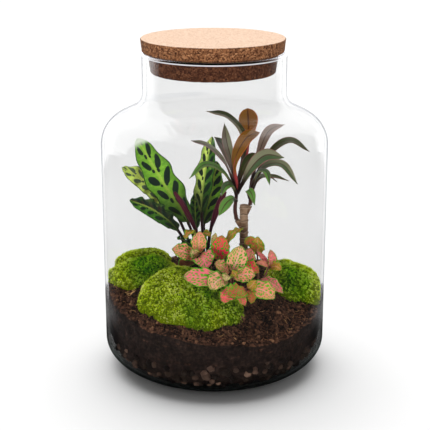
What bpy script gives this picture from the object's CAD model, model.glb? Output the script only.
import math
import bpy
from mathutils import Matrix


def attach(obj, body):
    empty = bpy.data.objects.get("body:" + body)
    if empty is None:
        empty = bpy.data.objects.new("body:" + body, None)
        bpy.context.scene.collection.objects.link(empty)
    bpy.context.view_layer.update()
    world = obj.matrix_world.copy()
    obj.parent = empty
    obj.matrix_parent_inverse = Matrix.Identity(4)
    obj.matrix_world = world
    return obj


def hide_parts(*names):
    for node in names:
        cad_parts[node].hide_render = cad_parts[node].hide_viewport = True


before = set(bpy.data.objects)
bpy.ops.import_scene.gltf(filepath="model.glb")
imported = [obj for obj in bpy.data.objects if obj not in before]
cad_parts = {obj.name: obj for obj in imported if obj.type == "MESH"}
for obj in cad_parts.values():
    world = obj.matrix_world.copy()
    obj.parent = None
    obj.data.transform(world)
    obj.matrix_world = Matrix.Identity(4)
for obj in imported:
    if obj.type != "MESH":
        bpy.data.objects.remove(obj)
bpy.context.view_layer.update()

from types import SimpleNamespace

import bmesh
import bpy
import numpy as np

MM = 0.001
TURN = 2 * math.pi

# Camera
# The scene is seen from the front, from a little above. Its place is in mm

IMAGE_SIDE = 430
CAMERA_PLACE = (0.5, -975, 437)
CAMERA_PITCH = 16.94
FOCAL_PIXELS = 1130
SENSOR = 36


def add_camera():
    data = bpy.data.cameras.new("camera")
    data.sensor_width = SENSOR
    data.lens = FOCAL_PIXELS / IMAGE_SIDE * SENSOR
    camera = bpy.data.objects.new("camera", data)
    camera.location = [c * MM for c in CAMERA_PLACE]
    camera.rotation_euler = (math.radians(90 - CAMERA_PITCH), 0, 0)
    bpy.context.scene.collection.objects.link(camera)
    bpy.context.scene.camera = camera


# Shader nodes


def srgb(red, green, blue):
    """A colour from its 0 to 255 values, as a shader takes it"""
    parts = [c / 255 for c in (red, green, blue)]
    return (*[c / 12.92 if c <= 0.04045 else ((c + 0.055) / 1.055) ** 2.4 for c in parts], 1)


class Value:
    """What a node gives. Sums, products and powers of values are Math nodes"""

    def __init__(self, paint, socket):
        self.paint = paint
        self.socket = socket

    def __add__(self, other):
        return self.paint.math("ADD", self, other)

    def __radd__(self, other):
        return self.paint.math("ADD", other, self)

    def __sub__(self, other):
        return self.paint.math("SUBTRACT", self, other)

    def __rsub__(self, other):
        return self.paint.math("SUBTRACT", other, self)

    def __mul__(self, other):
        return self.paint.math("MULTIPLY", self, other)

    def __truediv__(self, other):
        return self.paint.math("DIVIDE", self, other)

    def __pow__(self, other):
        return self.paint.math("POWER", self, other)

    def __abs__(self):
        return self.paint.math("ABSOLUTE", self)


class Paint:
    """A material's node tree, with short calls for the nodes that it uses"""

    def __init__(self, name, tree=None):
        if tree is None:
            self.material = bpy.data.materials.new(name)
            self.material.use_nodes = True
            tree = self.material.node_tree
        self.tree = tree
        tree.nodes.clear()

    def make(self, kind, inputs=(), **settings):
        made = self.tree.nodes.new("ShaderNode" + kind)
        for key, value in settings.items():
            setattr(made, key, value)
        for key, value in dict(inputs).items():
            if isinstance(value, Value):
                self.tree.links.new(value.socket, made.inputs[key])
            else:
                made.inputs[key].default_value = value
        return made

    def node(self, kind, inputs=(), output=0, **settings):
        return Value(self, self.make(kind, inputs, **settings).outputs[output])

    def math(self, operation, *values):
        return self.node("Math", enumerate(values), operation=operation)

    def mix(self, share, first, second):
        return self.node("Mix", {0: share, 6: first, 7: second}, 2, data_type="RGBA")

    def span(self, value, low, high, to_low=0.0, to_high=1.0):
        """The value's place between low and high, smoothed and held to the ends"""
        inputs = {0: value, 1: low, 2: high, 3: to_low, 4: to_high}
        return self.node("MapRange", inputs, interpolation_type="SMOOTHSTEP")

    def rise(self, height, low, high):
        """From 0 to 1 between two heights in mm"""
        return self.span(height, low * MM, high * MM)

    def band(self, height, begin, full, fade, end):
        """1 between the two middle heights in mm, and 0 beyond the outer two"""
        return self.rise(height, begin, full) * self.rise(height, end, fade)

    def ramp(self, value, *stops):
        """A colour from stops that each hold a place from 0 to 1, and red, green and blue"""
        made = self.make("ValToRGB", {0: value})
        points = made.color_ramp.elements
        while len(points) < len(stops):
            points.new(0.5)
        for point, (place, *colour) in zip(points, stops):
            point.position = place
            point.color = srgb(*colour)
        return Value(self, made.outputs[0])

    def place(self):
        """The place on the object, in metres"""
        return self.node("TexCoord", output="Object")

    def split(self, vector=None):
        """The three parts of a vector, or of the place if none is given"""
        made = self.make("SeparateXYZ", {0: vector or self.place()})
        return [Value(self, part) for part in made.outputs]

    def upward(self):
        """How far the surface faces up, from -1 to 1"""
        return self.split(self.node("NewGeometry", output="Normal"))[2]

    def facing(self):
        """From 0 where the surface is seen square on to 1 where it is seen edge-on"""
        return self.node("LayerWeight", {"Blend": 0.5}, "Facing")

    def noise(self, size, detail=2.0):
        """Noise from 0 to 1, its patches about size mm across"""
        inputs = {"Vector": self.place(), "Scale": 0.5 / (size * MM), "Detail": detail}
        return self.node("TexNoise", inputs)

    def cells(self, size, output="Distance", feature="F1"):
        """Cells about size mm across"""
        inputs = {"Vector": self.place(), "Scale": 1 / (size * MM)}
        return self.node("TexVoronoi", inputs, output, feature=feature)

    def flat_cells(self, across, along):
        """Distance from the middle of cells of one unit, on a surface's own two coordinates"""
        vector = self.node("CombineXYZ", {0: across, 1: along})
        inputs = {"Vector": vector, "Scale": 1.0, "Randomness": 0.7}
        return self.node("TexVoronoi", inputs, voronoi_dimensions="2D")

    def hue(self):
        """The colour that a piece's mesh carries at each point"""
        return self.node("Attribute", output="Color", attribute_name="hue")

    def mark(self):
        """The four numbers that a piece's mesh carries at each point"""
        made = self.make("Attribute", attribute_name="mark")
        parts = self.split(Value(self, made.outputs["Vector"]))
        return (*parts, Value(self, made.outputs["Alpha"]))

    def trait(self):
        """The one further number that a piece's mesh carries at each point"""
        return self.node("Attribute", output="Fac", attribute_name="trait")

    def bump(self, height, depth):
        """A normal from a height of 0 to 1, depth mm deep"""
        return self.node("Bump", {"Height": height, "Distance": depth * MM, "Strength": 1.0})

    def surface(self, colour, roughness, **inputs):
        """A plain surface. Further inputs go by their names in small letters"""
        names = {key.replace("_", " ").title().replace("Ior", "IOR"): value for key, value in inputs.items()}
        self.output(self.node("BsdfPrincipled", {"Base Color": colour, "Roughness": roughness, **names}))
        return self.material

    def output(self, shader, kind="OutputMaterial"):
        self.make(kind, {0: shader})


# Meshes


class Heap:
    """Points in mm and faces, gathered for one piece. Each point carries four numbers, a trait and a hue"""

    def __init__(self):
        self.points, self.faces, self.kinds, self.marks, self.traits, self.hues = [], [], [], [], [], []
        self.count = 0

    def add(self, points, faces, mark=(0, 0, 0, 0), kind=0, trait=0.0, hue=(0.5, 0.5, 0.5, 1)):
        points = np.asarray(points, float).reshape(-1, 3)
        self.points.append(points)
        self.marks.append(np.broadcast_to(np.asarray(mark, float).reshape(-1, 4), (len(points), 4)))
        self.hues.append(np.broadcast_to(np.asarray(hue, float).reshape(-1, 4), (len(points), 4)))
        self.traits.append(np.broadcast_to(np.asarray(trait, float).ravel(), (len(points),)))
        for group in faces if isinstance(faces, list) else [faces]:
            self.faces.append(np.asarray(group) + self.count)
            self.kinds.append(np.full(len(group), kind))
        self.count += len(points)


def piece(name, heap, materials, slot, *nodes):
    """An object made from a heap, which takes the place of the given solids"""
    mesh = bpy.data.meshes.new(name)
    points = np.concatenate(heap.points) * MM
    corners = np.concatenate([group.ravel() for group in heap.faces])
    sizes = np.concatenate([np.full(len(group), group.shape[1]) for group in heap.faces])
    mesh.vertices.add(len(points))
    mesh.vertices.foreach_set("co", points.ravel())
    mesh.loops.add(len(corners))
    mesh.loops.foreach_set("vertex_index", corners)
    mesh.polygons.add(len(sizes))
    mesh.polygons.foreach_set("loop_start", np.cumsum(sizes) - sizes)
    mesh.polygons.foreach_set("material_index", np.concatenate(heap.kinds))
    mesh.polygons.foreach_set("use_smooth", np.ones(len(sizes), bool))
    for label, kind, key, values in (("mark", "FLOAT_COLOR", "color", heap.marks),
                                     ("hue", "FLOAT_COLOR", "color", heap.hues),
                                     ("trait", "FLOAT", "value", heap.traits)):
        data = mesh.attributes.new(label, kind, "POINT").data
        data.foreach_set(key, np.concatenate(values).ravel())
    mesh.update(calc_edges=True)
    for material in materials:
        mesh.materials.append(material)
    made = bpy.data.objects.new(name, mesh)
    bpy.context.scene.collection.objects.link(made)
    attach(made, "root")
    if nodes:
        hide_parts(*nodes)


def grid_faces(rows, columns, wrap=True):
    """Quads between the points of a grid, its columns joined round where wrap is true"""
    i, j = np.meshgrid(np.arange(rows - 1), np.arange(columns if wrap else columns - 1), indexing="ij")
    after = (j + 1) % columns
    corners = [i * columns + j, i * columns + after, (i + 1) * columns + after, (i + 1) * columns + j]
    return np.stack([c.ravel() for c in corners], axis=1)


def fan(centre, ring, flip):
    """Triangles from one point to a closed ring"""
    after = np.roll(ring, -1)
    pair = (after, ring) if flip else (ring, after)
    return np.stack([np.full(len(ring), centre), *pair], axis=1)


def caps(rows, sides, flip=False):
    """Triangles that close a grid's first and last ring, to the two points that come after the grid"""
    count = rows * sides
    ring = np.arange(sides)
    return np.concatenate([fan(count, ring, flip), fan(count + 1, count - sides + ring, not flip)])


def circle(sides):
    """Points of a circle of radius 1, as X and Y"""
    angles = TURN * np.arange(sides) / sides
    return np.stack([np.cos(angles), np.sin(angles)], axis=1)


def turned(profile, sides):
    """Points of a profile in (radius, height) turned about Z, as a grid of rings"""
    radius, height = np.asarray(profile, float).T
    flat = radius[:, None, None] * circle(sides)
    return np.concatenate([flat, np.broadcast_to(height[:, None, None], (len(radius), sides, 1))], axis=2)


# Numbers that mix the bits of whole numbers
HASH_SEED_STEP = 40503
HASH_START = 977
HASH_STEPS = (73856093, 19349663, 83492791)
HASH_MIXERS = (1274126177, 2246822519)
HASH_MASK = 0xFFFFFFFF
HASH_LEVELS = 0xFFFF


def hashed(cells, seed):
    """A number from -1 to 1 for each cell of a grid, by mixing the bits of its three whole numbers"""
    mixed = seed * HASH_SEED_STEP + HASH_START
    for part, step in zip(np.moveaxis(cells, -1, 0), HASH_STEPS):
        mixed = mixed ^ (part * step)
    for shift, mixer in zip((13, 15), HASH_MIXERS):
        mixed = ((mixed ^ (mixed >> shift)) * mixer) & HASH_MASK
    return ((mixed ^ (mixed >> 13)) & HASH_LEVELS) / (HASH_LEVELS / 2) - 1


def noise(points, size, seed):
    """Smooth noise from -1 to 1 at points in mm, with lumps about size across"""
    place = np.asarray(points, float) / size
    base = np.floor(place).astype(np.int64)
    share = place - base
    share = share * share * (3 - 2 * share)
    total = 0
    for corner in np.ndindex(2, 2, 2):
        weight = np.prod(np.where(corner, share, 1 - share), axis=-1)
        total = total + weight * hashed(base + corner, seed)
    return total


def unit(vectors):
    """The vectors at length 1"""
    return vectors / np.linalg.norm(vectors, axis=-1, keepdims=True)


def curve(path, t):
    """Points and directions on a smooth curve through the path's points, at shares t of its spans"""
    path = np.asarray(path, float)
    last = len(path) - 1
    ends = np.concatenate([[2 * path[0] - path[1]], path, [2 * path[-1] - path[-2]]])
    place = np.clip(np.asarray(t, float) * last, 0, last)
    first = np.minimum(place.astype(int), last - 1)
    w = (place - first)[:, None]
    before, here, there, beyond = (ends[first + k] for k in range(4))
    slope_here, slope_there = (there - before) / 2, (beyond - here) / 2
    bend = 2 * here - 2 * there + slope_here + slope_there
    sweep = 3 * there - 3 * here - 2 * slope_here - slope_there
    points = ((bend * w + sweep) * w + slope_here) * w + here
    ahead = (3 * bend * w + 2 * sweep) * w + slope_here
    return points, unit(ahead)


def ball(level):
    """Points and triangles of a unit ball split level times"""
    made = bmesh.new()
    bmesh.ops.create_icosphere(made, subdivisions=level, radius=1)
    points = np.array([v.co[:] for v in made.verts])
    faces = np.array([[v.index for v in f.verts] for f in made.faces])
    made.free()
    return points, faces


def spins(random, count):
    """Random rotations, as 3 by 3 matrices"""
    q = unit(random.normal(size=(count, 4)))
    w, x, y, z = q.T
    rows = [
        [1 - 2 * (y * y + z * z), 2 * (x * y - z * w), 2 * (x * z + y * w)],
        [2 * (x * y + z * w), 1 - 2 * (x * x + z * z), 2 * (y * z - x * w)],
        [2 * (x * z - y * w), 2 * (y * z + x * w), 1 - 2 * (x * x + y * y)],
    ]
    return np.moveaxis(np.array(rows), -1, 0)


def add_lumps(heap, centres, sizes, random, level, rough, flatness=0.3):
    """Uneven rounded lumps, each with its own shape, turn and tone"""
    shape, faces = ball(level)
    count = len(centres)
    stretch = 1 - flatness * random.random((count, 1, 3))
    local = shape[None] * stretch
    local = local * (1 + rough * noise(local * 2.1 + 40 * np.arange(count)[:, None, None], 1, 7))[..., None]
    turned_to = np.einsum("nij,nkj->nki", spins(random, count), local)
    points = np.asarray(centres)[:, None] + turned_to * np.asarray(sizes)[:, None, None]
    index = faces[None] + len(shape) * np.arange(count)[:, None, None]
    tone = np.repeat(random.random(count), len(shape))
    mark = np.stack([tone, local[..., 2].ravel(), tone, tone], axis=1)
    heap.add(points, index.reshape(-1, 3), mark)


def add_tube(heap, path, radii, sides, steps, kind=0, tone=0.5, rough=0.0):
    """A round stem along a path, closed at its ends, its radii spread along it"""
    t = np.linspace(0, 1, steps + 1)
    centre, ahead = curve(path, t)
    side = unit(np.cross(ahead, [0.31, -0.94, 0.14]))
    up = np.cross(side, ahead)
    cos, sin = circle(sides).T
    radius = np.interp(t, np.linspace(0, 1, len(radii)), radii)[:, None, None]
    ring = cos[None, :, None] * side[:, None] + sin[None, :, None] * up[:, None]
    points = centre[:, None] + ring * radius
    points = points + ring * radius * rough * noise(points, 1.3, 5)[..., None]
    along = np.repeat(t, sides)
    mark = np.stack([np.tile(cos, steps + 1), along, np.full(len(along), tone), along], axis=1)
    mark = np.concatenate([mark, mark[:1], mark[-1:]])
    points = np.concatenate([points.reshape(-1, 3), centre[:1], centre[-1:]])
    heap.add(points, [grid_faces(steps + 1, sides), caps(steps + 1, sides)], mark, kind)


# Jar and lid
# Sizes in mm. The origin is the middle of the jar's flat base, and the front is -Y

TOTAL_HEIGHT = 300
BODY_RADIUS = 100
BASE_RADIUS = 58
BASE_THICKNESS = 4
BODY_WALL = 2.4
NECK_WALL = 3.6
INNER_FOOT = 56
INNER_CORNER_TOP = 29
CORNER_TOP = 28
SHOULDER_START = 207.4
SHOULDER_RADIUS = 28.3
SHOULDER_TURN = 1.11
NECK_FILLET = 16.2
NECK_START = 253.4
NECK_RADIUS = 63
RIM_TOP = 288
RIM_ROUND = 2
JAR_SIDES = 192
LID_OFFSET_X = -1.1
LID_TOP_RADIUS = 63
LID_FLANGE_RADIUS = 61.4
LID_EDGE = 0.9
PLUG_TOP_RADIUS = 57.2
PLUG_END_RADIUS = 54.6
PLUG_END = 270
LID_SIDES = 220
LID_STEP = 0.9
RIM_GAP = 0.3
FILL_RADIUS = BODY_RADIUS - BODY_WALL - 0.4


def arc(centre_r, centre_z, radius_r, radius_z, start, end, steps):
    """Points of an oval arc in (radius, height)"""
    angles = np.linspace(start, end, steps + 1)
    return np.stack([centre_r + radius_r * np.cos(angles), centre_z + radius_z * np.sin(angles)], axis=1)


def jar_profile():
    """The jar's outside up to the rim, the rim, and the inside down again"""
    quarter = math.pi / 2
    shoulder = BODY_RADIUS - SHOULDER_RADIUS
    fillet = NECK_RADIUS + NECK_FILLET
    wide = NECK_FILLET + NECK_WALL
    inner = SHOULDER_RADIUS - BODY_WALL
    outside = np.concatenate([
        [[0.01, 0]],
        arc(BASE_RADIUS, CORNER_TOP, BODY_RADIUS - BASE_RADIUS, CORNER_TOP, -quarter, 0, 20),
        arc(shoulder, SHOULDER_START, SHOULDER_RADIUS, SHOULDER_RADIUS, 0, SHOULDER_TURN, 24),
        arc(fillet, NECK_START, NECK_FILLET, NECK_FILLET, math.pi + SHOULDER_TURN, math.pi, 16),
    ])
    rim = arc(NECK_RADIUS - NECK_WALL / 2, RIM_TOP - RIM_ROUND, NECK_WALL / 2, RIM_ROUND, 0, math.pi, 16)
    inside = np.concatenate([
        arc(fillet, NECK_START, wide, wide, math.pi, math.pi + SHOULDER_TURN, 16),
        arc(shoulder, SHOULDER_START, inner, inner, SHOULDER_TURN, 0, 24),
        arc(INNER_FOOT, INNER_CORNER_TOP, BODY_RADIUS - BODY_WALL - INNER_FOOT,
            INNER_CORNER_TOP - BASE_THICKNESS, 0, -quarter, 20),
        [[0.01, BASE_THICKNESS]],
    ])
    return outside, rim, inside


# Heights in mm at which the look of the glass begins to change and has changed
ABOVE_SOIL = (66, 78)
FOOT = (34, 12)
UNDERSIDE = (22, 6)
LOW_SHINE = (0, 90)
LOW_STEEP = (34, 56)
# Bands of height in mm: where they begin, are full, begin to fade and end
STRAIGHT_WALL = (58, 76, 175, 205)
NECK = (228, 236, 254, 262)
NECK_HOLLOW = (226, 238, 258, 272)
SOIL_BEND = (20, 30, 42, 58)
LIP = (284.7, 285.2, 285.8, 286.2)

CLEAR_TINT = (0.96, 0.961, 0.961, 1)
SHADOW_TINT = (0.92, 0.925, 0.923, 1)
GLEAM_WHITE = (0.95, 0.96, 1, 1)


def see_through(paint, mirror, tint, shine, roughness, gleam=0.0):
    """Light that passes straight through, mixed with what the surface mirrors, and with a white gleam"""
    clear = paint.node("BsdfTransparent", {"Color": tint})
    gloss = paint.node("BsdfGlossy", {"Color": shine, "Roughness": roughness})
    seen = paint.node("MixShader", {0: mirror, 1: clear, 2: gloss})
    white = paint.node("BsdfDiffuse", {"Color": GLEAM_WHITE})
    seen = paint.node("MixShader", {0: gleam, 1: seen, 2: white})
    shade = paint.node("BsdfTransparent", {"Color": SHADOW_TINT})
    in_shadow = paint.node("LightPath", output="Is Shadow Ray")
    paint.output(paint.node("MixShader", {0: in_shadow, 1: seen, 2: shade}))
    return paint.material


def mirrored_share(facing):
    """How much glass mirrors, by how square on it is seen"""
    return 0.04 + facing ** 5.0 * 0.96


def slanting_wall(paint, height, facing):
    """1 where the straight wall above the soil is seen at a slant"""
    return paint.band(height, *STRAIGHT_WALL) * paint.span(facing, 0.25, 0.58)


def calm(paint, y, height, slanting):
    """What is left of the mirror image: little on the slanting wall and on the hollow at the neck's back"""
    return 1.0 - slanting * 0.85 - paint.band(height, *NECK_HOLLOW) * paint.span(y, 0.0, 0.03) * 0.9


def low_shine(paint, height):
    """The tint of what the glass mirrors, darker near the floor"""
    return paint.mix(paint.rise(height, *LOW_SHINE), (0.1, 0.1, 0.11, 1), (1, 1, 1, 1))


def glass_material():
    """The wall's outside: clear in front, darker at its outline, and darkest where soil lies behind it"""
    paint = Paint("clear_glass")
    x, y, height = paint.split()
    facing = paint.facing()
    right = paint.span(x, -0.03, 0.03)
    upper = paint.rise(height, *ABOVE_SOIL)
    foot = paint.rise(height, *FOOT)
    neck = paint.band(height, *NECK)
    slanting = slanting_wall(paint, height, facing)
    mirror = mirrored_share(facing) * calm(paint, y, height, slanting)

    dark_edge = paint.mix(foot, (0.27, 0.26, 0.26, 1), (0.42, 0.46, 0.445, 1))
    dark_edge = paint.mix(foot * paint.span(facing, 0.88, 0.97), dark_edge, (0.55, 0.58, 0.57, 1))
    upper_edge = paint.mix(right, (0.76, 0.77, 0.79, 1), (0.66, 0.67, 0.7, 1))
    neck_edge = paint.mix(right, (0.89, 0.895, 0.905, 1), (0.74, 0.75, 0.78, 1))
    edge = paint.mix(neck, paint.mix(upper, dark_edge, upper_edge), neck_edge)
    wide_neck = neck * (1.0 - right)
    bend = paint.band(height, *SOIL_BEND)
    begin = 0.72 + upper * 0.13 - foot * 0.16 - wide_neck * 0.25 - bend * 0.22
    end = 0.8 + upper * 0.17 - foot * 0.03 - wide_neck * 0.25 - bend * 0.14

    slanting_tint = paint.mix(right, (0.916, 0.917, 0.918, 1), (0.9, 0.901, 0.903, 1))
    clear = paint.mix(slanting, CLEAR_TINT, slanting_tint)
    clear = paint.mix(paint.rise(height, *UNDERSIDE), clear, (0.72, 0.74, 0.73, 1))
    tint = paint.mix(paint.span(facing, begin, end), clear, edge)

    steep_shine = paint.mix(paint.rise(height, *LOW_STEEP), (0.06, 0.06, 0.07, 1), (0.5, 0.5, 0.5, 1))
    steep_shine = paint.mix(upper, steep_shine, (0.33, 0.34, 0.37, 1))
    steep_shine = paint.mix(neck, steep_shine, (0.5, 0.5, 0.52, 1))
    shine = paint.mix(paint.span(facing, 0.74, 0.93), low_shine(paint, height), steep_shine)
    return see_through(paint, mirror, tint, shine, 0.0, paint.band(height, *LIP) * 0.55)


def inner_material():
    """The wall's inside, which shows no outline of its own"""
    paint = Paint("clear_glass_inside")
    _, y, height = paint.split()
    facing = paint.facing()
    mirror = mirrored_share(facing) * calm(paint, y, height, slanting_wall(paint, height, facing))
    mirror = mirror * paint.span(facing, 0.6, 0.9, 1.0, 0.35)
    shine = paint.mix(paint.span(facing, 0.74, 0.93), low_shine(paint, height), (0.5, 0.5, 0.52, 1))
    return see_through(paint, mirror, CLEAR_TINT, shine, 0.0)


def rim_material():
    """The rounded rim: bright where it mirrors the studio, dark where it is seen square on"""
    paint = Paint("rim_glass")
    facing = paint.facing()
    mirror = 0.05 + facing ** 1.8 * 0.95
    tint = paint.mix(paint.span(facing, 0.12, 0.4), (0.05, 0.05, 0.06, 1), (0.9, 0.9, 0.92, 1))
    return see_through(paint, mirror, tint, (0.96, 0.97, 1, 1), 0.05)


def add_jar():
    heap = Heap()
    outside, rim, inside = jar_profile()
    profile = np.concatenate([outside, rim, inside])
    faces = grid_faces(len(profile), JAR_SIDES)
    row = np.repeat(np.arange(len(profile) - 1), JAR_SIDES)
    slot = np.where(row < len(outside), 0, np.where(row < len(outside) + len(rim) - 1, 1, 2))
    heap.add(turned(profile, JAR_SIDES), faces[slot == 0])
    for kind in (1, 2):
        heap.faces.append(faces[slot == kind])
        heap.kinds.append(np.full((slot == kind).sum(), kind))
    piece("jar_glass", heap, [glass_material(), rim_material(), inner_material()], "glass", "jar")


def stepped(points, step):
    """A profile's straight runs split into steps of about the same length"""
    rows = [points[0]]
    for start, end in zip(points, points[1:]):
        count = max(1, round(math.dist(start, end) / step))
        rows += [np.add(start, np.subtract(end, start) * (k + 1) / count) for k in range(count)]
    return np.array(rows)


def cork_material():
    """Pressed cork with dark pits and cracks: palest on the cut top, darkest on the plug in the neck"""
    paint = Paint("pressed_cork")
    grain = paint.node("SeparateColor", {0: paint.cells(1.15, "Color")})
    fine = paint.noise(0.8, 4)
    tone = grain * 0.5 + fine * 0.5
    side = paint.ramp(tone, (0.2, 58, 32, 20), (0.42, 104, 66, 42), (0.62, 138, 92, 60), (0.85, 186, 138, 98))
    plug = paint.ramp(tone, (0.2, 46, 20, 10), (0.42, 76, 42, 24), (0.62, 100, 60, 38), (0.85, 136, 88, 58))
    top = paint.ramp(tone, (0.15, 212, 172, 144), (0.45, 234, 202, 176), (0.8, 244, 216, 194))
    _, _, height = paint.split()
    side = paint.mix(paint.rise(height, RIM_TOP - 1, RIM_TOP + 1), plug, side)
    flat = paint.span(paint.upward(), 0.55, 0.95)
    pits = paint.span(paint.noise(1.2, 3), 0.57, 0.68)
    borders = paint.span(paint.cells(1.3, feature="DISTANCE_TO_EDGE"), 0.08, 0.0)
    holes = paint.math("MAXIMUM", pits, borders * paint.span(fine, 0.5, 0.6))
    colour = paint.mix(holes * (0.85 - flat * 0.78), paint.mix(flat, side, top), srgb(40, 20, 14))
    return paint.surface(colour, 0.92, specular_ior_level=0.2, normal=paint.bump(holes, -0.25))


def add_lid():
    under = RIM_TOP + RIM_GAP
    profile = stepped([
        (0.3, PLUG_END),
        (PLUG_END_RADIUS - LID_EDGE, PLUG_END),
        (PLUG_END_RADIUS, PLUG_END + LID_EDGE),
        (PLUG_TOP_RADIUS, under),
        (LID_FLANGE_RADIUS, under),
        (LID_FLANGE_RADIUS + LID_EDGE / 2, under + LID_EDGE),
        (LID_TOP_RADIUS, TOTAL_HEIGHT - LID_EDGE),
        (LID_TOP_RADIUS - LID_EDGE, TOTAL_HEIGHT),
        (0.3, TOTAL_HEIGHT),
    ], LID_STEP)
    rings = turned(profile, LID_SIDES)
    rings[..., 0] += LID_OFFSET_X
    along = np.gradient(profile, axis=0)
    outward = unit(np.stack([along[:, 1], -along[:, 0]], axis=1))
    normal = np.concatenate([
        outward[:, :1, None] * circle(LID_SIDES)[None],
        np.broadcast_to(outward[:, 1:, None], (len(profile), LID_SIDES, 1)),
    ], axis=2)
    grain = 0.6 * noise(rings, 1.5, 21) + 0.4 * noise(rings, 3.2, 22)
    depth = 0.16 + 0.36 * np.clip(np.abs(grain) * 2 - 0.35, 0, 1)
    face_up = np.clip(normal[..., 2], 0, 1)
    heap = Heap()
    heap.add(rings - normal * (depth * (1 - 0.8 * face_up))[..., None], grid_faces(len(profile), LID_SIDES))
    piece("cork_stopper", heap, [cork_material()], "cork", "cork_lid")


# Ground

BED_TOP = 34
PEBBLE_RADIUS = 4.6
PEBBLE_LAYERS = np.arange(9.5, BED_TOP - 2.5, 4.6)
CORE_SIDES = 240
SOIL_CROWN = 88
SOIL_MIDDLE = 0.6
SOIL_AT_GLASS = [61, 66, 65, 64, 67, 74, 80, 67, 60, 55, 50, 55]
SOIL_HALFWAY = [71, 77, 79, 80, 81, 83, 84, 79, 73, 66, 63, 66]
SOIL_RINGS = 110
SOIL_SIDES = 270
SOIL_WALL_RINGS = 40
CRUMBS = 7000
# Crumbs below this size are balls with fewer faces
FINE_CRUMB = 1.5
FIBRES = 4600
STRAWS = 14
STRAW_PLACE = (-77, -27)
STONES_BEHIND = 22
# Stones that can be seen in the soil at the front, as X and Z
STONES_AT_GLASS = [(-3, 33), (1, 24), (47, 33), (61, 33), (84, 42), (88, 47), (94, 44), (12, 26), (36, 27)]


def by_angle(heights, angle):
    """A height between those that stand at even steps round the jar, from +X towards the back"""
    place = (angle / TURN % 1) * len(heights)
    first = np.floor(place).astype(int) % len(heights)
    ease = (1 - np.cos(math.pi * (place - np.floor(place)))) / 2
    heights = np.asarray(heights, float)
    return heights[first] + (heights[(first + 1) % len(heights)] - heights[first]) * ease


def soil_height(x, y):
    """The soil's surface without its clumps: a curve from the crown through halfway down to the glass"""
    out = np.minimum(1, np.hypot(x, y) / FILL_RADIUS)
    angle = np.arctan2(y, x)
    halfway, at_glass = by_angle(SOIL_HALFWAY, angle), by_angle(SOIL_AT_GLASS, angle)
    middle = SOIL_MIDDLE
    return (SOIL_CROWN * (out - middle) * (out - 1) / middle
            + halfway * out * (out - 1) / (middle * (middle - 1))
            + at_glass * out * (out - middle) / (1 - middle))


def ground_height(x, y):
    """The soil's surface with its clumps"""
    flat = np.stack([x, y, np.zeros_like(x)], axis=-1)
    near_glass = np.clip((FILL_RADIUS - np.hypot(x, y)) / 8, 0.5, 1)
    clumps = 1.9 * noise(flat, 11, 31) + 1.5 * np.abs(noise(flat, 5.5, 32)) + 1.1 * noise(flat, 2.6, 33)
    return soil_height(x, y) - 0.7 + clumps * near_glass


def corner_radius(height, gap=0.6):
    """Radius inside the glass at a height, with a gap"""
    low = np.clip((INNER_CORNER_TOP - height) / (INNER_CORNER_TOP - BASE_THICKNESS), 0, 1)
    reach = BODY_RADIUS - BODY_WALL - INNER_FOOT
    return INNER_FOOT + reach * np.sqrt(1 - low * low) - gap


def soil_material():
    """Dark crumbly soil, darker on its wall than on top"""
    paint = Paint("potting_soil")
    tone = paint.noise(4, 4) * 0.45 + paint.noise(1.3, 3) * 0.65
    lit = paint.ramp(tone, (0.36, 12, 8, 6), (0.5, 38, 25, 19), (0.64, 90, 61, 46), (0.85, 144, 104, 80))
    wall = paint.ramp(tone, (0.3, 10, 8, 7), (0.52, 30, 22, 19), (0.7, 48, 36, 31), (0.88, 92, 68, 56))
    colour = paint.mix(paint.span(paint.upward(), 0.15, 0.6), wall, lit)
    return paint.surface(colour, 0.95, specular_ior_level=0.15, normal=paint.bump(paint.noise(0.9, 5), 0.8))


def crumb_material():
    paint = Paint("soil_crumbs")
    mixed = paint.mark()[0] * 0.85 + paint.noise(0.9, 3) * 0.25
    colour = paint.ramp(mixed, (0.1, 10, 7, 5), (0.5, 42, 28, 21), (0.8, 88, 60, 45), (1.0, 144, 104, 78))
    return paint.surface(colour, 0.95, specular_ior_level=0.15, normal=paint.bump(paint.noise(0.6, 4), 0.4))


def fibre_material():
    paint = Paint("plant_fibre")
    tone = paint.mark()[2]
    colour = paint.ramp(tone, (0, 24, 15, 11), (0.5, 78, 50, 36), (0.9, 126, 86, 60), (1, 190, 146, 98))
    return paint.surface(colour, 0.85, specular_ior_level=0.2)


def clay_material():
    paint = Paint("fired_clay")
    tone = paint.mark()[0] * 0.85 + paint.noise(1.6, 4) * 0.25
    colour = paint.ramp(tone, (0.2, 24, 18, 16), (0.6, 50, 39, 32), (0.88, 84, 64, 54), (1.0, 124, 98, 82))
    pits = paint.span(paint.noise(0.5, 3), 0.32, 0.5)
    return paint.surface(colour, 0.85, specular_ior_level=0.25, normal=paint.bump(pits, 0.25))


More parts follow.
